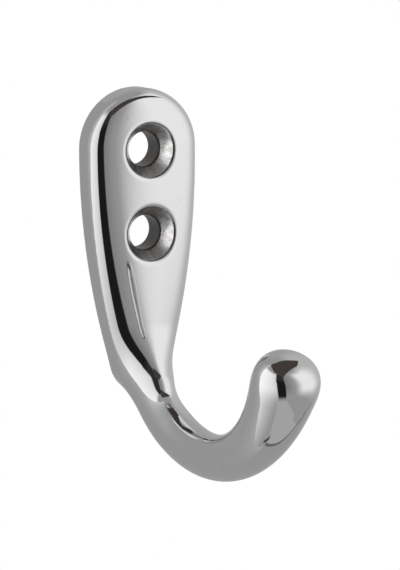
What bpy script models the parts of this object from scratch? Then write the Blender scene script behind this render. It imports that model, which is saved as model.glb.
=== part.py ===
"""Wall hook: one casting, a pillowed screw plate that runs out into a curved arm with a bulb end.

The wall is the plane y = 0, the hook stands out from it along -Y, +Z is up, and z = 0 is halfway
between the two screw holes. "Depth" below is the distance from the wall.
"""

import math

import bmesh
import bpy
from mathutils import Matrix, Vector

MM = 0.001

# Plate, seen from the front: a round top, long side arcs and a narrow round foot
PLATE_WIDTH = 18.4 * MM
PLATE_FOOT_WIDTH = 8.42 * MM
PLATE_CENTRES = 34.1 * MM
PLATE_SIDE_RADIUS = 111.0 * MM
# Plate, in section: upright side walls, given as shares of the thickness, under a pillowed front
PLATE_THICKNESS = 6.15 * MM
WALL_SHARE_TOP = 0.525
WALL_SHARE_FOOT = 0.375
# The pillow's section is a superellipse: its powers across the plate and outwards
PILLOW_ACROSS_TOP = 4.5
PILLOW_ACROSS_FOOT = 1.8
PILLOW_OUT_TOP = 2.16
PILLOW_OUT_FOOT = 1.45
# The pillow's ridge swells near the foot to run into the arm
RIDGE_SWELL = 1.6 * MM
RIDGE_LENGTH = 7.5 * MM
RIDGE_POWER = 2.0
# Screw holes, for countersunk wood screws of about 4.2 mm
HOLE_SPACING = 12.7 * MM
BORE_DIAMETER = 5.2 * MM
COUNTERSINK_DIAMETER = 8.66 * MM
COUNTERSINK_DEPTH = 2.4 * MM
# Arm: a round bar bent to one arc, growing towards its end
ARM_ROOT_DEPTH = 1.27 * MM
ARM_ROOT_RISE = 5.6 * MM
ARM_ROOT_SLOPE = math.radians(59.0)
ARM_BEND_RADIUS = 24.4 * MM
ARM_SWEEP = math.radians(121.2)
ARM_RADIUS = 3.3 * MM
ARM_GROWTH_POWER = 3.4
ARM_ROOT_FILLET = 0.8 * MM
ARM_FILLET_SHARE = 0.32
BULB_RADIUS = 4.85 * MM
BULB_LENGTH = 5.85 * MM
BULB_POWER = 2.73

# How finely the shapes are divided
OUTLINE_STEP = 0.9 * MM
PILLOW_STEPS = 12
ARM_STATIONS = 48
BULB_STATIONS = 12
ARM_SIDES_QUARTER = 10
HOLE_SIDES = 64
CUT_MARGIN = 2.0 * MM
MERGE_DISTANCE = 0.001 * MM

TOP_RADIUS = PLATE_WIDTH / 2
FOOT_RADIUS = PLATE_FOOT_WIDTH / 2
TOP_CENTRE = HOLE_SPACING / 2
FOOT_CENTRE = TOP_CENTRE - PLATE_CENTRES
# The side arc runs from the level of one centre to the level of the other
SIDE_SLANT = math.hypot(TOP_RADIUS - FOOT_RADIUS, PLATE_CENTRES)
SIDE_REACH = math.sqrt(PLATE_SIDE_RADIUS**2 - SIDE_SLANT**2 / 4) / SIDE_SLANT
SIDE_X = (TOP_RADIUS + FOOT_RADIUS) / 2 - PLATE_CENTRES * SIDE_REACH
SIDE_Z = (TOP_CENTRE + FOOT_CENTRE) / 2 + (TOP_RADIUS - FOOT_RADIUS) * SIDE_REACH


def clear_scene():
    """Remove whatever the scene starts with."""
    for item in list(bpy.data.objects):
        bpy.data.objects.remove(item, do_unlink=True)


def new_collection(name):
    """Return a new collection linked to the scene."""
    collection = bpy.data.collections.new(name)
    bpy.context.scene.collection.children.link(collection)
    return collection


def new_object(name, data, collection):
    """Return a new object holding the data, linked to the collection."""
    item = bpy.data.objects.new(name, data)
    collection.objects.link(item)
    return item


def chrome():
    """Return the plating material."""
    material = bpy.data.materials.new("polished_chrome")
    material.use_nodes = True
    shader = material.node_tree.nodes["Principled BSDF"]
    shader.inputs["Base Color"].default_value = (0.78, 0.78, 0.79, 1.0)
    shader.inputs["Metallic"].default_value = 1.0
    shader.inputs["Roughness"].default_value = 0.06
    return material


def half_width(z):
    """Return half the plate's width at a height; the taper goes on below the foot's centre."""
    return SIDE_X + math.sqrt(PLATE_SIDE_RADIUS**2 - (min(z, TOP_CENTRE) - SIDE_Z) ** 2)


def foot_height(turn):
    """Return the height of the foot's outline at an angle below the level of its centre."""
    z = FOOT_CENTRE
    for _ in range(40):
        z = FOOT_CENTRE - half_width(z) * math.sin(turn)
    return z


def steps(length):
    """Return how many divisions a length of the outline gets."""
    return max(6, round(length / OUTLINE_STEP))


def oval_points():
    """Return points (x, z) right round the outline, clockwise from the top."""
    right = []
    count = steps(TOP_RADIUS * math.pi / 2)
    for i in range(count):
        turn = math.pi / 2 * (1.0 - i / count)
        right.append((TOP_RADIUS * math.cos(turn), TOP_CENTRE + TOP_RADIUS * math.sin(turn)))
    count = steps(PLATE_CENTRES)
    for i in range(count):
        z = TOP_CENTRE - PLATE_CENTRES * i / count
        right.append((half_width(z), z))
    count = steps(FOOT_RADIUS * math.pi / 2)
    for i in range(count):
        turn = math.pi / 2 * i / count
        z = foot_height(turn)
        right.append((half_width(z) * math.cos(turn), z))
    left = [(-x, z) for x, z in reversed(right[1:])]
    return right + [(0.0, foot_height(math.pi / 2))] + left


def aside(x, z):
    """Return how far out a point of the plate lies: 0 on the middle line, 1 on the outline."""
    above = max(0.0, z - TOP_CENTRE)
    below = max(0.0, FOOT_CENTRE - z)
    return min(1.0, math.sqrt(x * x + above**2 + below**2) / half_width(z))


def between(top, foot, z):
    """Return a value that changes evenly from the top arc's centre to the foot's centre."""
    share = min(1.0, max(0.0, (TOP_CENTRE - z) / PLATE_CENTRES))
    return top + (foot - top) * share


def ridge_depth(z):
    """Return the depth of the plate's middle line at a height."""
    share = max(0.0, (FOOT_CENTRE + RIDGE_LENGTH - z) / RIDGE_LENGTH)
    return PLATE_THICKNESS + RIDGE_SWELL * share**RIDGE_POWER


def front_depth(x, z):
    """Return the depth of the pillowed front at a point of the plate."""
    wall = PLATE_THICKNESS * between(WALL_SHARE_TOP, WALL_SHARE_FOOT, z)
    across = between(PILLOW_ACROSS_TOP, PILLOW_ACROSS_FOOT, z)
    out = between(PILLOW_OUT_TOP, PILLOW_OUT_FOOT, z)
    return wall + (ridge_depth(z) - wall) * (1.0 - aside(x, z) ** across) ** (1.0 / out)


def plate_mesh():
    """Return the plate without its holes: rings of the outline, drawn in to the middle line."""
    outline = oval_points()
    bm = bmesh.new()
    rings = [[bm.verts.new((x, 0.0, z)) for x, z in outline]]
    for i in range(PILLOW_STEPS + 1):
        drawn = (i / PILLOW_STEPS) ** 2.2
        ring = []
        for x, z in outline:
            middle = min(TOP_CENTRE, max(FOOT_CENTRE, z))
            px = x * (1.0 - drawn)
            pz = z + (middle - z) * drawn
            ring.append(bm.verts.new((px, -front_depth(px, pz), pz)))
        rings.append(ring)
    count = len(outline)
    for lower, upper in zip(rings, rings[1:]):
        for i in range(count):
            j = (i + 1) % count
            bm.faces.new((lower[i], lower[j], upper[j], upper[i]))
    bm.faces.new(rings[0][::-1])
    bmesh.ops.remove_doubles(bm, verts=bm.verts, dist=MERGE_DISTANCE)
    bmesh.ops.recalc_face_normals(bm, faces=bm.faces)
    mesh = bpy.data.meshes.new("cast_hook")
    bm.to_mesh(mesh)
    bm.free()
    return mesh


def arm_radius(share):
    """Return the radius of the arm at a share of its length."""
    return ARM_RADIUS + (BULB_RADIUS - ARM_RADIUS) * share**ARM_GROWTH_POWER


def root_fillet(share):
    """Return how far the arm is thickened on its inner side, to run out of the plate."""
    return ARM_ROOT_FILLET * max(0.0, 1.0 - share / ARM_FILLET_SHARE) ** 1.5


def arm_points():
    """Return (depth, height, radius) along the arm, from inside the plate to the bulb's tip."""
    start = Vector((ARM_ROOT_DEPTH, foot_height(math.pi / 2) + ARM_ROOT_RISE))
    centre = start + ARM_BEND_RADIUS * Vector((math.sin(ARM_ROOT_SLOPE), math.cos(ARM_ROOT_SLOPE)))
    points = []
    for i in range(ARM_STATIONS + 1):
        share = i / ARM_STATIONS
        turn = ARM_SWEEP * share - ARM_ROOT_SLOPE
        fillet = root_fillet(share)
        at = centre + (ARM_BEND_RADIUS - fillet) * Vector((math.sin(turn), -math.cos(turn)))
        points.append((at.x, at.y, arm_radius(share) + fillet))
    turn = ARM_SWEEP - ARM_ROOT_SLOPE
    ahead = Vector((math.cos(turn), math.sin(turn)))
    end = Vector(points[-1][:2])
    for i in range(1, BULB_STATIONS + 1):
        reach = math.sin(math.pi / 2 * i / BULB_STATIONS)
        at = end + ahead * BULB_LENGTH * reach
        share = 1.0 + BULB_LENGTH * reach / (ARM_BEND_RADIUS * ARM_SWEEP)
        closing = max(0.0005, 1.0 - reach**BULB_POWER) ** (1.0 / BULB_POWER)
        points.append((at.x, at.y, arm_radius(share) * closing))
    return points


def arm_object(collection):
    """Return the arm as a mesh object made from a bevelled curve."""
    curve = bpy.data.curves.new("arm_path", "CURVE")
    curve.dimensions = "3D"
    curve.bevel_depth = 1.0
    curve.bevel_resolution = ARM_SIDES_QUARTER - 2
    curve.use_fill_caps = True
    points = arm_points()
    spline = curve.splines.new("POLY")
    spline.points.add(len(points) - 1)
    for point, (depth, height, radius) in zip(spline.points, points):
        point.co = (0.0, -depth, height, 1.0)
        point.radius = radius
    path = new_object("arm_path", curve, collection)
    bpy.context.view_layer.update()
    mesh = bpy.data.meshes.new_from_object(path)
    bpy.data.objects.remove(path, do_unlink=True)
    return new_object("arm_bar", mesh, collection)


def hole_cutter(name, height, collection):
    """Return a turned cutter for one screw hole: bore and countersink."""
    bore = BORE_DIAMETER / 2
    rim = COUNTERSINK_DIAMETER / 2
    spread = (rim - bore) / COUNTERSINK_DEPTH
    profile = [
        (0.0, PLATE_THICKNESS + CUT_MARGIN),
        (rim + spread * CUT_MARGIN, PLATE_THICKNESS + CUT_MARGIN),
        (bore, PLATE_THICKNESS - COUNTERSINK_DEPTH),
        (bore, -CUT_MARGIN),
        (0.0, -CUT_MARGIN),
    ]
    mesh = bpy.data.meshes.new(name)
    edges = [(i, i + 1) for i in range(len(profile) - 1)]
    mesh.from_pydata([(radius, 0.0, depth) for radius, depth in profile], edges, [])
    cutter = new_object(name, mesh, collection)
    turn = cutter.modifiers.new("turn", "SCREW")
    turn.axis = "Z"
    turn.steps = HOLE_SIDES
    turn.render_steps = HOLE_SIDES
    turn.use_merge_vertices = True
    turn.merge_threshold = 0.00001
    cutter.matrix_world = Matrix.Translation((0.0, 0.0, height)) @ Matrix.Rotation(math.pi / 2, 4, "X")
    return cutter


def wall_block(collection):
    """Return the block that trims the root of the arm flush with the wall."""
    bpy.ops.mesh.primitive_cube_add(size=1.0)
    block = bpy.context.object
    block.name = "wall_block"
    deep = PLATE_WIDTH
    block.scale = (4 * PLATE_WIDTH, deep, 8 * PLATE_CENTRES)
    block.location = (0.0, deep / 2, 0.0)
    for owner in list(block.users_collection):
        owner.objects.unlink(block)
    collection.objects.link(block)
    return block


def boolean(item, operand, operation):
    """Add an exact Boolean to an object."""
    step = item.modifiers.new(operand.name, "BOOLEAN")
    step.operation = operation
    step.solver = "EXACT"
    step.object = operand


def main():
    """Build the hook."""
    clear_scene()
    parts = new_collection("wall_hook")
    cutters = new_collection("cutters")
    hook = new_object("cast_hook", plate_mesh(), parts)
    hook.data.materials.append(chrome())
    boolean(hook, arm_object(cutters), "UNION")
    boolean(hook, wall_block(cutters), "DIFFERENCE")
    for name, side in (("upper_hole", 1), ("lower_hole", -1)):
        boolean(hook, hole_cutter(name, side * HOLE_SPACING / 2, cutters), "DIFFERENCE")
    for cutter in cutters.objects:
        cutter.hide_render = True
        cutter.display_type = "WIRE"


main()
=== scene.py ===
"""Dressed wall hook: one polished, plated casting in a small photographic studio.

The casting is a surface with a rule: a distance to it can be worked out at any point, so Geometry
Nodes find the surface and its slope from that rule. Sizes of the casting and of the studio's cards
are in millimetres, and everything else is in metres. "Depth" is the distance from the wall, which is
the plane y = 0. Directions are in degrees: azimuth 0 is out from the wall, and 90 is to its right.
"""

import logging
import math
from dataclasses import dataclass, field, fields
from enum import Enum
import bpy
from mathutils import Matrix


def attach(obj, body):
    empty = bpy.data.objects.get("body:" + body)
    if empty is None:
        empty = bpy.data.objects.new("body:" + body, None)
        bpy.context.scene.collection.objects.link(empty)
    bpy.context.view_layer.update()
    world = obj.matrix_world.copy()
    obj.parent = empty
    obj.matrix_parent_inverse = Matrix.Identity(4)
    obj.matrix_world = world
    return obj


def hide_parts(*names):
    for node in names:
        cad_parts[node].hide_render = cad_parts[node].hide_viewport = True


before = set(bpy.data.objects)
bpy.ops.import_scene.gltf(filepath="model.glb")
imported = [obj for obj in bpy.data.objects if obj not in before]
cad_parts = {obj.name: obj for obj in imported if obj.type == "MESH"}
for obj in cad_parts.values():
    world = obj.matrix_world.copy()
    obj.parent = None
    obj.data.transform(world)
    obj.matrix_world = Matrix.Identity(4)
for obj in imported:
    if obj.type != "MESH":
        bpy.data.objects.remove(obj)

from types import SimpleNamespace
from typing import Any, Optional, Union

import bmesh
import bpy
from mathutils import Matrix, Vector

LOG = logging.getLogger("wall_hook")
MM = 0.001
Number = Union["Wire", float]
Tone = tuple[float, float, float]
Point = tuple[float, float, float]
Span = tuple[float, float]


class Wire:
    """A node's output that can be written in an expression."""

    def __init__(self, graph: "Graph", socket: bpy.types.NodeSocket) -> None:
        """Hold the socket and the graph that new nodes go to."""
        self.graph = graph
        self.socket = socket

    def __add__(self, other: Number) -> "Wire":
        """Return the sum."""
        return self.graph.math("ADD", self, other)

    def __radd__(self, other: Number) -> "Wire":
        """Return the sum."""
        return self.graph.math("ADD", other, self)

    def __sub__(self, other: Number) -> "Wire":
        """Return the difference."""
        return self.graph.math("SUBTRACT", self, other)

    def __rsub__(self, other: Number) -> "Wire":
        """Return the difference."""
        return self.graph.math("SUBTRACT", other, self)

    def __mul__(self, other: Number) -> "Wire":
        """Return the product."""
        return self.graph.math("MULTIPLY", self, other)

    def __rmul__(self, other: Number) -> "Wire":
        """Return the product."""
        return self.graph.math("MULTIPLY", other, self)

    def __truediv__(self, other: Number) -> "Wire":
        """Return the quotient."""
        return self.graph.math("DIVIDE", self, other)

    def __rtruediv__(self, other: Number) -> "Wire":
        """Return the quotient."""
        return self.graph.math("DIVIDE", other, self)

    def __pow__(self, other: Number) -> "Wire":
        """Return the power."""
        return self.graph.math("POWER", self, other)

    def __neg__(self) -> "Wire":
        """Return the opposite value."""
        return self.graph.math("MULTIPLY", self, -1.0)

    def __abs__(self) -> "Wire":
        """Return the value without its sign."""
        return self.graph.math("ABSOLUTE", self)

    def __lt__(self, other: Number) -> "Wire":
        """Return 1 where the value is less than the other, and 0 elsewhere."""
        return self.graph.math("LESS_THAN", self, other)

    def __gt__(self, other: Number) -> "Wire":
        """Return 1 where the value is greater than the other, and 0 elsewhere."""
        return self.graph.math("GREATER_THAN", self, other)


class Graph:
    """A node tree that is written as expressions."""

    def __init__(self, tree: bpy.types.NodeTree) -> None:
        """Hold the tree."""
        self.tree = tree

    def node(self, kind: str, settings: Optional[dict[str, Any]] = None, **values: Any) -> bpy.types.Node:
        """Add a node.

        Args:
            kind: the node's type.
            settings: properties of the node, set first.
            values: a number, a vector or a Wire for each named input; "_0" names input 0.

        Returns:
            The node.
        """
        made = self.tree.nodes.new(kind)
        for name, value in (settings or {}).items():
            setattr(made, name, value)
        for name, value in values.items():
            socket = made.inputs[int(name[1:])] if name[0] == "_" else made.inputs[name.replace("_", " ")]
            if isinstance(value, Wire):
                self.tree.links.new(value.socket, socket)
            else:
                socket.default_value = value
        return made

    def wire(self, kind: str, settings: Optional[dict[str, Any]] = None, out: int = 0, **values: Any) -> Wire:
        """Add a node and return one of its outputs.

        Args:
            kind: the node's type.
            settings: properties of the node.
            out: which output.
            values: the inputs, as for node().

        Returns:
            The output.
        """
        return Wire(self, self.node(kind, settings, **values).outputs[out])

    def named(self, kind: str, output: str) -> Wire:
        """Add a node that needs no inputs and return its named output."""
        return Wire(self, self.node(kind).outputs[output])

    def math(self, operation: str, *values: Number) -> Wire:
        """Add a Math node for values."""
        inputs = {f"_{i}": value for i, value in enumerate(values)}
        return self.wire("ShaderNodeMath", {"operation": operation}, **inputs)

    def low(self, a: Number, b: Number) -> Wire:
        """Return the lower of two values."""
        return self.math("MINIMUM", a, b)

    def high(self, a: Number, b: Number) -> Wire:
        """Return the higher of two values."""
        return self.math("MAXIMUM", a, b)

    def clip(self, value: Wire, low: Number, high: Number) -> Wire:
        """Return the value kept between two limits."""
        return self.high(self.low(value, high), low)

    def root(self, value: Wire) -> Wire:
        """Return the square root, with negative values taken as 0."""
        return self.math("SQRT", self.high(value, 0.0))

    def length(self, *sides: Wire) -> Wire:
        """Return the length of a diagonal.

        Args:
            sides: its sides, which are square to each other.

        Returns:
            The length.
        """
        total = sides[0] * sides[0]
        for side in sides[1:]:
            total = total + side * side
        return self.root(total)

    def blend(self, a: Number, b: Number, share: Wire) -> Wire:
        """Return a value between a, at share 0, and b, at share 1."""
        return a + (b - a) * share

    def ease(self, value: Wire, start: Number, end: Number) -> Wire:
        """Return 0 before start, 1 after end and a smooth step between them."""
        share = self.clip((value - start) / (end - start), 0.0, 1.0)
        return share * share * (3.0 - 2.0 * share)

    def parts(self, vector: Wire) -> tuple[Wire, Wire, Wire]:
        """Return the three parts of a vector."""
        split = self.node("ShaderNodeSeparateXYZ", _0=vector)
        return tuple(Wire(self, out) for out in split.outputs)

    def vector(self, x: Number, y: Number, z: Number) -> Wire:
        """Return a vector from its parts."""
        return self.wire("ShaderNodeCombineXYZ", _0=x, _1=y, _2=z)

    def vectors(self, operation: str, a: Wire, out: int = 0, **values: Any) -> Wire:
        """Add a Vector Math node.

        Args:
            operation: what it does.
            a: the first vector.
            out: which output: 0 is a vector, and 1 is a value.
            values: other inputs, as for node().

        Returns:
            The output.
        """
        return self.wire("ShaderNodeVectorMath", {"operation": operation}, out=out, _0=a, **values)

    def mix(self, a: Union[Wire, Tone], b: Union[Wire, Tone], share: Wire) -> Wire:
        """Return a colour between a, at share 0, and b, at share 1."""
        first, second = (tone if isinstance(tone, Wire) else (*tone, 1.0) for tone in (a, b))
        return self.wire("ShaderNodeMix", {"data_type": "RGBA"}, out=2, _0=share, _6=first, _7=second)


def lit_material(name: str) -> tuple[bpy.types.Material, Graph]:
    """Make a material with no nodes yet.

    Args:
        name: its name.

    Returns:
        The material and its graph.
    """
    material = bpy.data.materials.new(name)
    material.use_nodes = True
    material.node_tree.nodes.clear()
    return material, Graph(material.node_tree)


class Surface(Enum):
    """The surfaces of the casting that lie over the mirror polish, and the painted shade line along each
    countersink's rim.
    """

    TURNED = "turned"
    BORE = "bore"
    RIM_SHADE = "rim"
    BACK = "back"


@dataclass(frozen=True)
class Finish:
    """How one surface of the plating looks."""

    tone: Tone
    roughness: float
    variation: float


@dataclass(frozen=True)
class Pattern:
    """A soft random pattern from 0 to 1, which may be stretched by a factor for each direction."""

    scale: float
    detail: float
    roughness: float
    stretch: Point = (1.0, 1.0, 1.0)

    def at(self, g: Graph, place: Wire) -> Wire:
        """Return the pattern at a place."""
        return g.wire("ShaderNodeTexNoise", Vector=place, Scale=self.scale, Detail=self.detail,
                      Roughness=self.roughness)

    def along(self, g: Graph, x: Wire, y: Wire, z: Wire) -> Wire:
        """Return the stretched pattern at a place, given by its parts."""
        a, b, c = self.stretch
        return self.at(g, g.vector(x * a, y * b, z * c))


@dataclass(frozen=True)
class HolePlan:
    """Where the material finds the two screw holes, in metres."""

    height: float
    rim: float
    bore: float
    face: float


@dataclass(frozen=True)
class Spot:
    """A place on the casting; above, rise and reach belong to the nearer hole."""

    place: Wire
    x: Wire
    y: Wire
    z: Wire
    above: Wire
    rise: Wire
    reach: Wire


@dataclass(frozen=True)
class Grain:
    """The patterns on the plating, each from 0 to 1."""

    mottle: Wire
    streaks: Wire
    rings: Wire
    grit: Wire
    buffing: Wire
    grinding: Wire
    pits: Wire
    waves: Wire


@dataclass(frozen=True)
class ChromePlating:
    """Bright plating: mirror polished outside, tool-turned in the countersinks, matt in the bores.

    The back is ground. Each span is a soft edge, over which one look gives way to another. The holes carry
    painted light: a painted highlight in the countersinks, painted shade at their top and bottom and along
    their rims, and painted shade in the bores.
    """

    name: str = "chrome_plating"
    polished: Finish = Finish((0.70, 0.70, 0.705), 0.045, 0.03)
    # The turned tone, brighter than the polish, is a painted highlight in the countersinks; their roughness
    # and its variation are the turned finish.
    turned: Finish = Finish((0.96, 0.955, 0.955), 0.14, 0.16)
    # The bores' dark tone is painted shade in the recess; their roughness and its variation are a matt
    # finish.
    bore: Finish = Finish((0.135, 0.128, 0.123), 0.34, 0.2)
    back: Finish = Finish((0.56, 0.56, 0.565), 0.40, 0.2)
    # Edges in millimetres: from the plate's face, the rim, the bore and the wall
    face_edge: Span = (-0.3, 0.5)
    turned_edge: Span = (-0.06, 0.02)
    crease_edge: Span = (0.03, 0.17)
    bore_edge: Span = (0.05, 0.2)
    throat_edge: Span = (-1.3, -1.0)
    back_edge: Span = (-0.22, -0.02)
    # How much a place has to face the wall to be ground
    facing_edge: Span = (0.5, 0.9)
    # Patterns, and the values at which some of them begin to show
    mottle: Pattern = Pattern(420.0, 3.0, 0.6)
    streaks: Pattern = Pattern(1.6, 4.0, 0.65, (3.5, 900.0, 7.0))
    rings: Pattern = Pattern(1.0, 2.0, 0.5, (5200.0, 5200.0, 1.5))
    grit: Pattern = Pattern(5200.0, 2.0, 0.6)
    buffing: Pattern = Pattern(1.0, 3.0, 0.6, (2600.0, 2600.0, 120.0))
    grinding: Pattern = Pattern(1.0, 4.0, 0.7, (3000.0, 3000.0, 160.0))
    grinding_lean: float = 0.25
    grinding_mottle: float = 0.6
    pits: Pattern = Pattern(1500.0, 1.0, 0.4)
    waves: Pattern = Pattern(150.0, 1.0, 0.4)
    pit_edge: Span = (0.775, 0.80)
    streak_edge: Span = (0.36, 0.62)
    painted_shade_edge: Span = (0.04, 0.75)
    grinding_edge: Span = (0.62, 0.98)
    # Second tones, their shares, what is added to the roughness, and heights in millimetres
    pit_tone: Tone = (0.25, 0.25, 0.25)
    streak_tone: Tone = (0.64, 0.625, 0.61)
    # Painted shade at the top and bottom of each countersink
    painted_shade_tone: Tone = (0.48, 0.455, 0.435)
    # Painted shade line along each countersink's rim
    rim_shade_tone: Tone = (0.10, 0.098, 0.096)
    hollow_tone: Tone = (0.37, 0.37, 0.375)
    pit_share: float = 0.5
    painted_shade_share: float = 0.5
    rim_shade_share: float = 0.8
    buffing_variation: float = 0.02
    pit_roughness: float = 0.15
    vertical_roughness: float = 0.28
    wave_height: float = 0.01
    streak_height: float = 0.008
    grinding_height: float = 0.02
    least_square: float = 1e-9

    def spot(self, g: Graph, plan: HolePlan) -> Spot:
        """Read the place that is being shaded.

        Args:
            g: the graph.
            plan: the holes.

        Returns:
            The place.
        """
        place = g.named("ShaderNodeTexCoord", "Object")
        x, y, z = g.parts(place)
        above = z > 0.0
        rise = g.blend(z + plan.height, z - plan.height, above)
        return Spot(place, x, y, z, above, rise, g.length(x, rise))

    def edge(self, g: Graph, value: Wire, span: Span, start: float = 0.0) -> Wire:
        """Return a smooth step over a span in millimetres, counted from a start in metres."""
        return g.ease(value, start + span[0] * MM, start + span[1] * MM)

    def shares(self, g: Graph, plan: HolePlan, spot: Spot) -> dict[Surface, Wire]:
        """Find which surface a place belongs to.

        Args:
            g: the graph.
            plan: the holes.
            spot: the place.

        Returns:
            A share from 0 to 1 for each surface.
        """
        below_face = self.edge(g, spot.y, self.face_edge, -plan.face)
        turned = (1.0 - self.edge(g, spot.reach, self.turned_edge, plan.rim)) * below_face
        bored = 1.0 - self.edge(g, spot.reach, self.bore_edge, plan.bore)
        bored = g.high(bored, turned * self.edge(g, spot.y, self.throat_edge))
        # Painted shade: a thin dark line where the turned finish ends inside the rounded rim.
        rim_shade = (1.0 - self.edge(g, abs(spot.reach - plan.rim), self.crease_edge)) * below_face
        slope = g.wire("ShaderNodeVectorTransform",
                       {"vector_type": "NORMAL", "convert_from": "WORLD", "convert_to": "OBJECT"},
                       _0=g.named("ShaderNodeNewGeometry", "True Normal"))
        facing = g.ease(g.parts(slope)[1], *self.facing_edge)
        back = self.edge(g, spot.y, self.back_edge) * facing
        return {Surface.TURNED: turned, Surface.BORE: bored, Surface.RIM_SHADE: rim_shade * self.rim_shade_share,
                Surface.BACK: back}

    def grain(self, g: Graph, spot: Spot) -> Grain:
        """Make the patterns.

        Args:
            g: the graph.
            spot: the place.

        Returns:
            The patterns.
        """
        x, y, z = spot.x, spot.y, spot.z
        around = g.math("ARCTAN2", spot.rise, x)
        return Grain(
            mottle=self.mottle.at(g, spot.place),
            streaks=self.streaks.along(g, around, spot.reach, spot.above),
            rings=self.rings.along(g, spot.reach, y, around),
            grit=self.grit.at(g, spot.place),
            buffing=self.buffing.along(g, x, y, z),
            grinding=self.grinding.along(g, x, y, z + x * self.grinding_lean),
            pits=g.ease(self.pits.at(g, spot.place), *self.pit_edge),
            waves=self.waves.at(g, spot.place),
        )

    def roughness(self, g: Graph, vertical_share: Wire, shares: dict[Surface, Wire], grain: Grain) -> Wire:
        """Work out the roughness.

        Args:
            g: the graph.
            vertical_share: how near the top and bottom of its hole a place lies.
            shares: the surfaces.
            grain: the patterns.

        Returns:
            The roughness.
        """
        rough = self.polished.roughness + (grain.mottle - 0.5) * self.polished.variation
        rough = rough + (grain.buffing - 0.5) * self.buffing_variation + grain.pits * self.pit_roughness
        turned = self.turned.roughness + vertical_share * self.vertical_roughness
        layers = {
            Surface.TURNED: turned + (grain.streaks - 0.5) * self.turned.variation,
            Surface.BORE: self.bore.roughness + (grain.rings - 0.5) * self.bore.variation,
            Surface.BACK: self.back.roughness + (grain.grit - 0.5) * self.back.variation,
        }
        for surface, layer in layers.items():
            rough = g.blend(rough, layer, shares[surface])
        return rough

    def tone(self, g: Graph, vertical_share: Wire, shares: dict[Surface, Wire], grain: Grain) -> Wire:
        """Work out the colour.

        Args:
            g: the graph.
            vertical_share: how near the top and bottom of its hole a place lies; there the countersinks get
                painted shade.
            shares: the surfaces.
            grain: the patterns.

        Returns:
            The colour.
        """
        # Painted highlight in the countersinks: the bright turned tone, broken by the turned finish's
        # streaks.
        turned = g.mix(self.streak_tone, self.turned.tone, g.ease(grain.streaks, *self.streak_edge))
        # Painted shade at the top and bottom of each countersink.
        painted_shade = g.ease(vertical_share, *self.painted_shade_edge) * self.painted_shade_share
        turned = g.mix(turned, self.painted_shade_tone, painted_shade)
        raised = g.ease(grain.grinding + grain.mottle * self.grinding_mottle, *self.grinding_edge)
        # In the bores, the dark tone is painted shade.
        layers = {
            Surface.TURNED: turned,
            Surface.BORE: self.bore.tone,
            Surface.RIM_SHADE: self.rim_shade_tone,
            Surface.BACK: g.mix(self.hollow_tone, self.back.tone, raised),
        }
        tone = g.mix(self.polished.tone, self.pit_tone, grain.pits * self.pit_share)
        for surface, layer in layers.items():
            tone = g.mix(tone, layer, shares[surface])
        return tone

    def relief(self, shares: dict[Surface, Wire], grain: Grain) -> Wire:
        """Work out the small heights.

        Args:
            shares: the surfaces.
            grain: the patterns.

        Returns:
            The height.
        """
        waves = grain.waves * (1.0 - shares[Surface.TURNED]) * self.wave_height
        streaks = grain.streaks * shares[Surface.TURNED] * self.streak_height
        ground = (grain.grit + grain.grinding) * shares[Surface.BACK] * self.grinding_height
        return waves + streaks + ground

    def material(self, plan: HolePlan) -> bpy.types.Material:
        """Make the material.

        Args:
            plan: the holes.

        Returns:
            The material.
        """
        material = bpy.data.materials.new(self.name)
        material.use_nodes = True
        g = Graph(material.node_tree)
        spot = self.spot(g, plan)
        shares = self.shares(g, plan, spot)
        grain = self.grain(g, spot)
        # How near the top and bottom of its hole a place lies: the countersinks are rougher there, and get
        # painted shade.
        vertical_share = spot.rise * spot.rise / g.high(spot.reach * spot.reach, self.least_square)
        looks = {
            "Base Color": self.tone(g, vertical_share, shares, grain),
            "Roughness": self.roughness(g, vertical_share, shares, grain),
            "Normal": g.wire("ShaderNodeBump", Strength=1.0, Distance=MM, Height=self.relief(shares, grain)),
        }
        shader = material.node_tree.nodes["Principled BSDF"]
        for name, wire in looks.items():
            material.node_tree.links.new(wire.socket, shader.inputs[name])
        shader.inputs["Metallic"].default_value = 1.0
        return material


@dataclass
class HookSizes:
    """Sizes of the casting, in millimetres and degrees; powers and shares have no unit."""

    # Plate from the front, and in section from the top to the foot
    plate_width: float = 18.318
    plate_centres: float = 34.057
    foot_width: float = 8.356
    side_radius: float = 110.880
    thickness: float = 6.15
    wall_top: float = 2.682
    wall_foot: float = 3.080
    across_top: float = 9.763
    across_foot: float = 1.75
    across_power: float = 1.494
    out_top: float = 2.136
    out_foot: float = 1.27
    bow_top: float = 0.029
    bow_foot: float = 0.010
    swell: float = 2.689
    swell_length: float = 7.557
    swell_power: float = 1.928
    back_edge: float = 0.25
    # Screw holes
    hole_spacing: float = 12.7
    bore_radius: float = 2.6
    rim_radius: float = 4.33
    countersink: float = 2.4
    throat_soft: float = 0.2
    rim_soft: float = 0.4
    bore_relief: float = 0.15
    # Arm and bulb, and how the arm runs into the plate
    root_depth: float = 1.439
    root_height: float = -25.754
    root_slope: float = 57.904
    bend_radius: float = 24.528
    sweep: float = 119.363
    arm_radius: float = 3.306
    bulb_radius: float = 4.831
    growth: float = 3.416
    dome_length: float = 6.238
    dome_power: float = 2.689
    join_front: float = 3.5
    join_rear: float = 3.101
    root_fillet: float = -0.912
    fillet_share: float = 0.3


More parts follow.
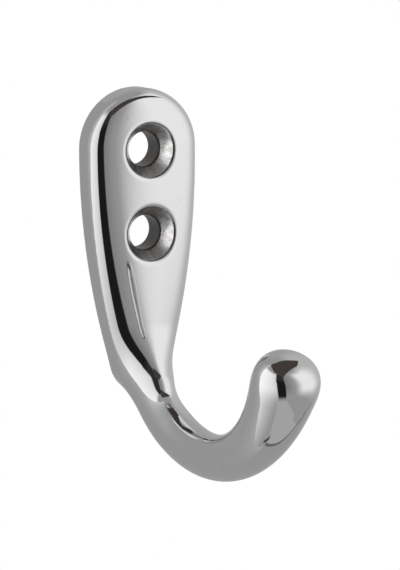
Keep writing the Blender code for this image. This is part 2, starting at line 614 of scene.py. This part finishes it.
@dataclass
class CastHook:
    """The casting: a pillowed plate that runs out into a round arm with a bulb end."""

    sizes: HookSizes = field(default_factory=HookSizes)
    plating: ChromePlating = field(default_factory=ChromePlating)
    # Radius at which the turned finish ends, inside the rounded rim
    turned_radius: float = 4.17
    # Depths over which the soft joins change from their rear width to their front width
    join_depths: Span = (1.0, 6.0)
    rim_depths: Span = (1.0, 3.0)
    rear_rim_soft: float = 0.1
    hole_overrun: float = 2.0
    fillet_power: float = 1.5
    # Limits that keep the plate's rule smooth away from its surface
    taper_below: float = 8.0
    swell_limit: float = 1.8
    bow_limit: float = 1.05
    least_crown: float = 0.3
    least_aside: float = 0.0001
    least_ahead: float = 0.000001
    least_steep: float = 0.12
    # How the surface is found: the grid, its level at the surface, and the passes that settle it
    voxel: float = 0.25
    box_low: Point = (-10.2, -50.6, -41.6)
    box_margin: float = 1.0
    level: float = 10.0
    probe: float = 0.02
    passes: int = 3
    least_slope: float = 0.05

    def plate(self, g: Graph, s: SimpleNamespace, x: Wire, depth: Wire, z: Wire) -> Wire:
        """Return the distance to the plate without its holes.

        Args:
            g: the graph.
            s: the sizes, as wires.
            x: place across the plate.
            depth: distance from the wall.
            z: height.

        Returns:
            The distance, near the surface.
        """
        top = s.hole_spacing * 0.5
        foot = top - s.plate_centres
        lean = (s.plate_width - s.foot_width) * 0.5
        slant = g.length(lean, s.plate_centres)
        reach = g.root(s.side_radius * s.side_radius - slant * slant * 0.25) / slant
        side_x = (s.plate_width + s.foot_width) * 0.25 - s.plate_centres * reach
        side_z = (top + foot) * 0.5 + lean * reach
        level = g.clip(z, foot - self.taper_below, top) - side_z
        half = side_x + g.root(s.side_radius * s.side_radius - level * level)
        share = g.clip((top - z) / s.plate_centres, 0.0, 1.0)
        top_radius = s.plate_width * 0.5
        fall = g.clip((top + top_radius - z) / (s.plate_centres + top_radius), 0.0, 1.0)
        across = g.blend(s.across_foot, s.across_top, (1.0 - fall) ** s.across_power)
        out = g.blend(s.out_top, s.out_foot, fall)
        wall = g.blend(s.wall_top, s.wall_foot, share)
        rise = g.clip((foot + s.swell_length - z) / s.swell_length, 0.0, self.swell_limit)
        aside = g.length(x, g.high(z - top, 0.0), g.high(foot - z, 0.0))
        inner = g.low(aside, half * self.bow_limit)
        bow = g.blend(s.bow_top, s.bow_foot, share) * inner
        crown = s.thickness + s.swell * rise**s.swell_power - wall - bow * inner * 0.5
        crown = g.high(crown, self.least_crown)
        aside = g.high(aside / half, self.least_aside)
        ahead = g.high(depth - wall, self.least_ahead) / crown
        value = aside**across + ahead**out
        slant_in = across * aside ** (across - 1.0) / half + out * ahead**out * bow / crown
        steep = g.length(slant_in, out * ahead ** (out - 1.0) / crown)
        return (value - 1.0) / g.high(steep, self.least_steep)

    def arm(self, g: Graph, s: SimpleNamespace, x: Wire, depth: Wire, z: Wire) -> Wire:
        """Return the distance to the arm and its bulb end.

        Args:
            g: the graph.
            s: the sizes, as wires.
            x: place across the arm.
            depth: distance from the wall.
            z: height.

        Returns:
            The distance, near the surface.
        """
        start = s.root_slope * math.radians(1.0)
        sweep = s.sweep * math.radians(1.0)
        end = sweep - start
        sine, cosine = g.math("SINE", start), g.math("COSINE", start)
        middle_depth = s.root_depth + s.bend_radius * sine
        middle_z = s.root_height + s.bend_radius * cosine
        u, w = depth - middle_depth, z - middle_z
        turn = g.math("ARCTAN2", u, -w)
        share = g.clip((turn + start) / sweep, 0.0, 1.0)
        fillet = s.root_fillet * g.high(1.0 - share / s.fillet_share, 0.0) ** self.fillet_power
        growth = s.bulb_radius - s.arm_radius
        tube = g.length(x, g.length(u, w) - s.bend_radius + fillet)
        tube = tube - (s.arm_radius + growth * share**s.growth) - fillet
        end_sine, end_cosine = g.math("SINE", end), g.math("COSINE", end)
        from_end, above_end = u - s.bend_radius * end_sine, w + s.bend_radius * end_cosine
        along = from_end * end_cosine + above_end * end_sine
        beside = g.length(x, above_end * end_cosine - from_end * end_sine)
        past = g.high(along, 0.0)
        round_radius = s.arm_radius + growth * (
            1.0 + g.low(past, s.dome_length) / (s.bend_radius * sweep)) ** s.growth
        dome = (past / s.dome_length) ** s.dome_power + (beside / round_radius) ** s.dome_power
        dome = round_radius * (dome ** (1.0 / s.dome_power) - 1.0)
        inset = s.bend_radius - s.root_fillet
        root = g.length(x, u + inset * sine, w + inset * cosine) - s.arm_radius - s.root_fillet
        bar = g.blend(tube, root, turn < -start)
        return g.blend(bar, dome, along > 0.0)

    def join(self, g: Graph, a: Wire, b: Wire, width: Number) -> Wire:
        """Return the distance to two shapes that run into each other over a width."""
        near = g.high(width - abs(a - b), 0.0) / width
        return g.low(a, b) - near * near * width * 0.25

    def hole(self, g: Graph, s: SimpleNamespace, x: Wire, depth: Wire, z: Wire) -> Wire:
        """Return the distance to one screw hole, whose axis is at z = 0.

        Args:
            g: the graph.
            s: the sizes, as wires.
            x: place across the plate.
            depth: distance from the wall.
            z: height above the hole's axis.

        Returns:
            The distance, near the surface.
        """
        reach = g.length(x, z) - s.bore_radius
        spread = (s.rim_radius - s.bore_radius) / s.countersink
        cone = (reach - (depth - s.thickness + s.countersink) * spread) / g.root(1.0 + spread * spread)
        relief = (reach - s.bore_relief + depth) * math.sqrt(0.5)
        bore = self.join(g, reach, relief, s.throat_soft)
        return g.high(self.join(g, bore, cone, s.throat_soft), depth - s.thickness - self.hole_overrun)

    def distance_tree(self) -> bpy.types.NodeTree:
        """Make the group that gives the distance from any place to the casting.

        Returns:
            The group: a place and the sizes go in, and the distance comes out.
        """
        tree = bpy.data.node_groups.new("casting_distance", "GeometryNodeTree")
        g = Graph(tree)
        place, s = self.inputs(g, "Place")
        x, y, z = g.parts(place)
        depth = -y
        width = g.blend(s.join_rear, s.join_front, g.ease(depth, *self.join_depths))
        body = self.join(g, self.plate(g, s, x, depth, z), self.arm(g, s, x, depth, z), width)
        front, rear = body + s.back_edge, s.back_edge - depth
        rounded = g.length(g.high(front, 0.0), g.high(rear, 0.0))
        body = g.low(g.high(front, rear), 0.0) + rounded - s.back_edge
        rim = g.blend(self.rear_rim_soft, s.rim_soft, g.ease(depth, *self.rim_depths))
        for side in (0.5, -0.5):
            hole = self.hole(g, s, x, depth, z - s.hole_spacing * side)
            body = -self.join(g, -body, hole, rim)
        self.output(g, "NodeSocketFloat", "Distance", body)
        return tree

    def inputs(self, g: Graph, place: Optional[str] = None) -> tuple[Optional[Wire], SimpleNamespace]:
        """Give a tree its named inputs.

        Args:
            g: the graph.
            place: name of a vector input, if the tree has one.

        Returns:
            The place, if any, and the sizes as wires.
        """
        if place:
            g.tree.interface.new_socket(place, in_out="INPUT", socket_type="NodeSocketVector")
        for size in fields(self.sizes):
            made = g.tree.interface.new_socket(size.name, in_out="INPUT", socket_type="NodeSocketFloat")
            made.default_value = getattr(self.sizes, size.name)
        entry = g.node("NodeGroupInput")
        wires = {size.name: Wire(g, entry.outputs[size.name]) for size in fields(self.sizes)}
        return (Wire(g, entry.outputs[place]) if place else None), SimpleNamespace(**wires)

    def output(self, g: Graph, kind: str, name: str, value: Wire) -> None:
        """Give a tree one named output.

        Args:
            g: the graph.
            kind: the socket's type.
            name: the output's name.
            value: what comes out.
        """
        g.tree.interface.new_socket(name, in_out="OUTPUT", socket_type=kind)
        exit_node = g.node("NodeGroupOutput")
        g.tree.links.new(value.socket, exit_node.inputs[name])

    def distance(self, g: Graph, tree: bpy.types.NodeTree, place: Wire, s: SimpleNamespace) -> Wire:
        """Return the distance from a place, through the group.

        Args:
            g: the graph.
            tree: the distance group.
            place: where to measure.
            s: the sizes, as wires.

        Returns:
            The distance.
        """
        made = g.node("GeometryNodeGroup", {"node_tree": tree}, Place=place)
        for name, wire in vars(s).items():
            g.tree.links.new(wire.socket, made.inputs[name])
        return Wire(g, made.outputs[0])

    def slope(self, g: Graph, tree: bpy.types.NodeTree, place: Wire, s: SimpleNamespace) -> Wire:
        """Return the direction in which the distance grows, and how fast.

        Args:
            g: the graph.
            tree: the distance group.
            place: where to measure.
            s: the sizes, as wires.

        Returns:
            The slope as a vector.
        """
        parts = []
        for axis in range(3):
            step = [0.0, 0.0, 0.0]
            step[axis] = self.probe
            ends = [g.vectors(way, place, _1=tuple(step)) for way in ("ADD", "SUBTRACT")]
            ahead, behind = (self.distance(g, tree, end, s) for end in ends)
            parts.append((ahead - behind) * (0.5 / self.probe))
        return g.vector(*parts)

    def surface_tree(self, material: bpy.types.Material) -> bpy.types.NodeTree:
        """Make the tree that finds the surface of the casting.

        Args:
            material: the plating.

        Returns:
            The tree: the sizes go in, and the mesh comes out, in metres.
        """
        distance = self.distance_tree()
        tree = bpy.data.node_groups.new("casting_surface", "GeometryNodeTree")
        g = Graph(tree)
        _, s = self.inputs(g)
        low = self.box_low
        top = self.sizes.hole_spacing / 2 + self.sizes.plate_width / 2
        high = (-low[0], self.box_margin, top + self.box_margin)
        count = [round((b - a) / self.voxel) for a, b in zip(low, high)]
        place = g.wire("GeometryNodeInputPosition")
        inside = self.level - self.distance(g, distance, place, s)
        volume = g.wire("GeometryNodeVolumeCube", Density=inside, Background=0.0, Min=low, Max=high,
                        Resolution_X=count[0], Resolution_Y=count[1], Resolution_Z=count[2])
        shape = g.wire("GeometryNodeVolumeToMesh", {"resolution_mode": "GRID"}, Volume=volume,
                       Threshold=self.level)
        for _ in range(self.passes):
            slope = self.slope(g, distance, place, s)
            steep = g.vectors("DOT_PRODUCT", slope, out=1, _1=slope)
            back = -self.distance(g, distance, place, s) / g.high(steep, self.least_slope)
            shape = g.wire("GeometryNodeSetPosition", Geometry=shape,
                           Offset=g.vectors("SCALE", slope, Scale=back))
        shape = g.wire("GeometryNodeSetShadeSmooth", Geometry=shape)
        shape = g.wire("GeometryNodeTransform", Geometry=shape, Scale=(MM, MM, MM))
        shape = g.wire("GeometryNodeRealizeInstances", Geometry=shape)
        shape = g.wire("GeometryNodeSetMaterial", Geometry=shape, Material=material)
        self.output(g, "NodeSocketGeometry", "Geometry", shape)
        return tree

    def build(self) -> bpy.types.Object:
        """Make the casting as a plain mesh object.

        Returns:
            The object, at the origin.
        """
        sizes = self.sizes
        plan = HolePlan(height=sizes.hole_spacing / 2 * MM, rim=self.turned_radius * MM,
                        bore=sizes.bore_radius * MM, face=sizes.thickness * MM)
        tree = self.surface_tree(self.plating.material(plan))
        hook = bpy.data.objects.new("hook_casting", bpy.data.meshes.new("hook_seed"))
        bpy.context.scene.collection.objects.link(hook)
        rule = hook.modifiers.new("rule", "NODES")
        rule.node_group = tree
        for item in tree.interface.items_tree:
            if item.in_out == "INPUT" and item.socket_type == "NodeSocketFloat":
                rule[item.identifier] = float(getattr(sizes, item.name))
        bpy.context.view_layer.update()
        shown = hook.evaluated_get(bpy.context.evaluated_depsgraph_get())
        mesh = bpy.data.meshes.new_from_object(shown)
        hook.modifiers.remove(rule)
        mesh.name = "hook_casting"
        hook.data = mesh
        return hook

    def dress(self, hook: bpy.types.Object) -> None:
        """Put the casting in the place of its plain solid.

        Args:
            hook: the casting's object.
        """
        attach(hook, "root")
        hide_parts("cast_hook")


@dataclass(frozen=True)
class Panel:
    """A panel on the tent, given by the directions of its edges as the hook sees them.

    It may change to another strength on its left, and to a share of its strength towards its foot.
    The three soft widths are those of its left edge, its right edge and its two ends.
    """

    name: str
    left: float
    right: float
    low: float
    high: float
    strength: float
    left_strength: Optional[float] = None
    low_share: float = 1.0
    soft: tuple[float, float, float] = (1.5, 1.5, 3.0)
    fade_below: float = 5.0

    def over(self, g: Graph, tone: Wire, azimuth: Wire, elevation: Wire) -> Wire:
        """Put the panel on the tent.

        Args:
            g: the graph.
            tone: the tent's strength without the panel.
            azimuth: direction round the hook.
            elevation: direction above the hook.

        Returns:
            The strength with the panel.
        """
        left, right, ends = self.soft
        inside = g.ease(azimuth, self.left - left, self.left + left) * (
            1.0 - g.ease(azimuth, self.right - right, self.right + right))
        inside = inside * g.ease(elevation, self.low - ends, self.low + ends) * (
            1.0 - g.ease(elevation, self.high - ends, self.high + ends))
        strength: Number = self.strength
        if self.left_strength is not None:
            share = g.clip((self.right - azimuth) / (self.right - self.left), 0.0, 1.0)
            strength = g.blend(self.strength, self.left_strength, g.root(share))
        if self.low_share < 1.0:
            strength = strength * g.blend(1.0, self.low_share, g.ease(-elevation, self.fade_below, -self.low))
        return g.blend(tone, strength, inside)


@dataclass(frozen=True)
class Card:
    """A flat card close to the hook, with its corners in millimetres.

    It may be brighter at its front edge, less so low down, and fall off behind that edge.
    """

    name: str
    corners: tuple[Point, ...]
    strength: float
    edge_strength: Optional[float] = None
    fall: float = 1.0
    low_share: float = 1.0
    low_heights: Span = (-40.0, 30.0)
    tint: Tone = (1.0, 1.0, 1.0)

    def build(self) -> bpy.types.Object:
        """Make the card.

        Returns:
            The card's object.
        """
        mesh = bpy.data.meshes.new(self.name)
        places = [Vector(corner) * MM for corner in self.corners]
        mesh.from_pydata(places, [], [tuple(range(len(places)))])
        material, g = lit_material(self.name)
        strength: Number = self.strength
        if self.edge_strength is not None:
            front = min(corner[1] for corner in self.corners)
            _, y, z = g.parts(g.named("ShaderNodeTexCoord", "Object"))
            share = g.math("EXPONENT", (front * MM - y) / (self.fall * MM))
            low, high = self.low_heights
            share = share * g.blend(self.low_share, 1.0, g.ease(z, low * MM, high * MM))
            strength = g.blend(self.strength, self.edge_strength, share)
        light = g.wire("ShaderNodeEmission", Color=(*self.tint, 1.0), Strength=strength)
        g.node("ShaderNodeOutputMaterial", Surface=light)
        mesh.materials.append(material)
        return staged(bpy.data.objects.new(self.name, mesh))


def direction(azimuth: float, elevation: float) -> Vector:
    """Return a direction from its two angles."""
    a, e = math.radians(azimuth), math.radians(elevation)
    return Vector((math.sin(a) * math.cos(e), -math.cos(a) * math.cos(e), math.sin(e)))


def staged(item: bpy.types.Object) -> bpy.types.Object:
    """Link a studio object that only reflections see, and hide it from the camera.

    Args:
        item: the object.

    Returns:
        The same object.
    """
    bpy.context.scene.collection.objects.link(item)
    item.visible_camera = False
    return item


@dataclass(frozen=True)
class Change:
    """A change of the tent's tone that grows between two azimuths."""

    start: float
    end: float
    amount: float

    def at(self, g: Graph, azimuth: Wire) -> Wire:
        """Return how far the change has gone at an azimuth."""
        return self.amount * g.ease(azimuth, self.start, self.end)


@dataclass
class Studio:
    """The studio round the hook: a grey tent with panels, cards, a floor and a white background."""

    tent_radius: float = 1.6
    tent_segments: int = 48
    # The tent's tone: dark in front of the hook, brighter to the right, and plain above, below and left
    tent_tone: float = 0.28
    brighter: tuple[Change, ...] = (Change(-27.0, 5.0, 0.13), Change(-1.0, 33.0, 0.70))
    darker: tuple[Change, ...] = (Change(60.0, 108.0, 0.45), Change(115.0, 150.0, 0.27))
    plain_tone: float = 0.40
    plain_left: float = -60.0
    plain_below: Span = (3.0, 42.0)
    plain_above: Span = (52.0, 70.0)
    # The white opening behind the hook, opposite the camera
    opening_azimuth: float = 150.5
    opening_elevation: float = -9.7
    opening_squeeze: float = 0.7
    opening_edge: Span = (7.0, 9.0)
    # The floor, and the light of the world where it isn't seen
    floor_height: float = -1.7
    floor_radius: float = 2.4
    floor_segments: int = 64
    floor_white: float = 0.9
    floor_paint: float = 0.8
    sky_light: float = 0.5
    panels: tuple[Panel, ...] = (
        Panel("left_softbox", -140.0, -56.5, -62.0, 52.0, 0.74, 1.40, 0.40, (4.0, 1.2, 7.0)),
        Panel("dark_panel", -59.0, -29.5, 17.0, 56.0, 0.035, soft=(2.0, 2.0, 3.0)),
        Panel("black_panel", -56.5, -28.5, -41.0, 27.0, 0.014, soft=(1.2, 2.0, 7.0)),
    )
    cards: tuple[Card, ...] = (
        Card("dark_hood", ((-24, -22, 57), (8, -26, 59), (31, -22, 57), (54, -19, 55), (51, -36, 66),
                           (23, -72, 90), (-80, -185, 163), (-62, -63, 83)), 0.07, tint=(1.0, 0.84, 0.77)),
        Card("grey_side", ((-83, 14, -400), (-83, 14, 400), (-83, 1200, 400), (-83, 1200, -400)),
             0.40, 0.78, 35.0, 0.3),
        Card("grey_table", ((-132, -109, -172), (-32, -31, -172), (110, -41, -172), (-63, -161, -172)), 0.50),
        Card("table_edge", ((-34, -30, -171), (6, -37, -171), (110, -41, -171), (234, 8, -171),
                            (234, 14, -171), (110, -35, -171), (6, -31, -171), (-34, -24, -171)), 0.16),
        Card("table_corner", ((-36, -45, -170), (-31, -36, -170), (-46, -21, -170), (-53, -22, -170),
                              (-43, -34, -170)), 0.05),
    )

    def tone(self, g: Graph, azimuth: Wire, elevation: Wire) -> Wire:
        """Work out the tent's tone in a direction.

        Args:
            g: the graph.
            azimuth: direction round the hook.
            elevation: direction above the hook.

        Returns:
            The tone.
        """
        tone: Number = self.tent_tone
        for change in self.brighter:
            tone = tone + change.at(g, azimuth)
        for change in self.darker:
            tone = tone * (1.0 - change.at(g, azimuth))
        for share in (azimuth < self.plain_left, g.ease(-elevation, *self.plain_below),
                      g.ease(elevation, *self.plain_above)):
            tone = g.blend(tone, self.plain_tone, share)
        for panel in self.panels:
            tone = panel.over(g, tone, azimuth, elevation)
        aside = (azimuth - self.opening_azimuth) * self.opening_squeeze
        aside = g.length(aside, elevation - self.opening_elevation)
        return g.blend(1.0, tone, g.ease(aside, *self.opening_edge))

    def tent(self) -> bpy.types.Object:
        """Make the grey tent, whose tone changes softly with direction.

        Returns:
            The tent's object.
        """
        mesh = bpy.data.meshes.new("grey_tent")
        bm = bmesh.new()
        bmesh.ops.create_uvsphere(bm, u_segments=self.tent_segments, v_segments=self.tent_segments // 2,
                                  radius=self.tent_radius)
        bm.to_mesh(mesh)
        bm.free()
        material, g = lit_material("grey_tent")
        x, y, z = g.parts(g.vectors("NORMALIZE", g.named("ShaderNodeTexCoord", "Object")))
        azimuth = g.math("ARCTAN2", x, -y) * math.degrees(1.0)
        elevation = g.math("ARCSINE", z) * math.degrees(1.0)
        light = g.wire("ShaderNodeEmission", Strength=self.tone(g, azimuth, elevation))
        g.node("ShaderNodeOutputMaterial", Surface=light)
        mesh.materials.append(material)
        return staged(bpy.data.objects.new("grey_tent", mesh))

    def seen(self, g: Graph) -> Wire:
        """Return 1 for rays that look at the background directly, in a mirror or through glass.

        Args:
            g: the graph.

        Returns:
            1 for such rays, and 0 for others.
        """
        path = g.node("ShaderNodeLightPath")
        kinds = ("Is Camera Ray", "Is Glossy Ray", "Is Transmission Ray")
        camera, glossy, passing = (Wire(g, path.outputs[kind]) for kind in kinds)
        return g.low(camera + glossy + passing, 1.0)

    def floor(self) -> bpy.types.Object:
        """Make the pale floor, below the tent.

        Returns:
            The floor's object.
        """
        mesh = bpy.data.meshes.new("pale_floor")
        bm = bmesh.new()
        bmesh.ops.create_circle(bm, cap_ends=True, segments=self.floor_segments, radius=self.floor_radius,
                                matrix=Matrix.Translation((0.0, 0.0, self.floor_height)))
        bm.to_mesh(mesh)
        bm.free()
        material, g = lit_material("pale_floor")
        seen = self.seen(g) * self.floor_white
        paint = g.wire("ShaderNodeBsdfDiffuse", Color=(*[self.floor_paint] * 3, 1.0))
        white = g.wire("ShaderNodeEmission", Color=(1.0, 1.0, 1.0, 1.0), Strength=1.0)
        mixed = g.wire("ShaderNodeMixShader", _0=seen, _1=paint, _2=white)
        g.node("ShaderNodeOutputMaterial", Surface=mixed)
        mesh.materials.append(material)
        floor = bpy.data.objects.new("pale_floor", mesh)
        bpy.context.scene.collection.objects.link(floor)
        return floor

    def background(self) -> None:
        """Make the world white where it is seen, and a plain grey as light."""
        world = bpy.data.worlds.new("studio")
        bpy.context.scene.world = world
        world.use_nodes = True
        g = Graph(world.node_tree)
        g.tree.nodes.clear()
        strength = g.blend(self.sky_light, 1.0, self.seen(g))
        sky = g.wire("ShaderNodeBackground", Color=(1.0, 1.0, 1.0, 1.0), Strength=strength)
        g.node("ShaderNodeOutputWorld", Surface=sky)

    def build(self) -> None:
        """Make the studio and report its parts."""
        self.background()
        for part in (self.tent(), self.floor(), *(card.build() for card in self.cards), *self.panels):
            LOG.info("studio %s", part.name)


@dataclass
class PhotoCamera:
    """The camera, at the photograph's place; the lens and the sensor are in millimetres."""

    azimuth: float = -29.468
    elevation: float = 9.718
    roll: float = -0.533
    aim: Point = (0.0, -0.020587, -0.012048)
    distance: float = 0.440
    lens: float = 189.0
    sensor: float = 36.0
    nearest: float = 0.01

    def build(self) -> bpy.types.Object:
        """Make the camera and choose it.

        Returns:
            The camera's object.
        """
        data = bpy.data.cameras.new("photo_camera")
        data.lens = self.lens
        data.sensor_width = self.sensor
        data.clip_start = self.nearest
        camera = bpy.data.objects.new("photo_camera", data)
        bpy.context.scene.collection.objects.link(camera)
        back = direction(self.azimuth, self.elevation)
        turn = math.radians(self.azimuth)
        right = Vector((math.cos(turn), math.sin(turn), 0.0))
        up = back.cross(right)
        tilt = math.radians(self.roll)
        across = right * math.cos(tilt) + up * math.sin(tilt)
        upright = up * math.cos(tilt) - right * math.sin(tilt)
        turned = Matrix((across, upright, back)).transposed().to_4x4()
        camera.matrix_world = Matrix.Translation(Vector(self.aim) + back * self.distance) @ turned
        bpy.context.scene.camera = camera
        return camera


def main() -> None:
    """Dress the hook, and set up the studio and the camera."""
    logging.basicConfig(level=logging.INFO, format="%(message)s")
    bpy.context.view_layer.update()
    bpy.context.scene.view_settings.view_transform = "Standard"
    casting = CastHook()
    hook = casting.build()
    casting.dress(hook)
    LOG.info("piece %s: %d faces", hook.name, len(hook.data.polygons))
    Studio().build()
    LOG.info("camera %s", PhotoCamera().build().name)
    bpy.context.view_layer.update()


if __name__ == "__main__":
    main()
